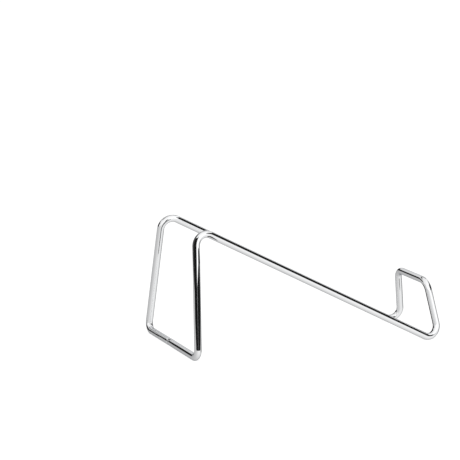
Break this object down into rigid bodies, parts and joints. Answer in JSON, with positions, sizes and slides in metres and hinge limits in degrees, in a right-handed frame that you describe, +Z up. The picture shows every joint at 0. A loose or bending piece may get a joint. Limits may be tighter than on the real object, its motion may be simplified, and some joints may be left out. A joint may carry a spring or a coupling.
{
  "type": "wine rack",
  "caption": "Chromed steel wire rack bent into a loop that holds a wine bottle on a slope, with a foot bar, side rails and a rear stop.",
  "frame": {"origin": "on the floor, below the middle of the rack's length and width", "axes": "+X along the rack from the neck end to the rear stop, +Y to the left when looking along +X, +Z up"},
  "size_m": [0.1975, 0.09, 0.0863],
  "materials": {
    "chromed_wire": "bright chrome plating over polished steel wire",
    "chromed_weld": "dressed weld under bright chrome plating"
  },
  "bodies": {
    "root": {"bent_wire": "chromed_wire", "butt_weld": "chromed_weld"}
  },
  "joints": []
}
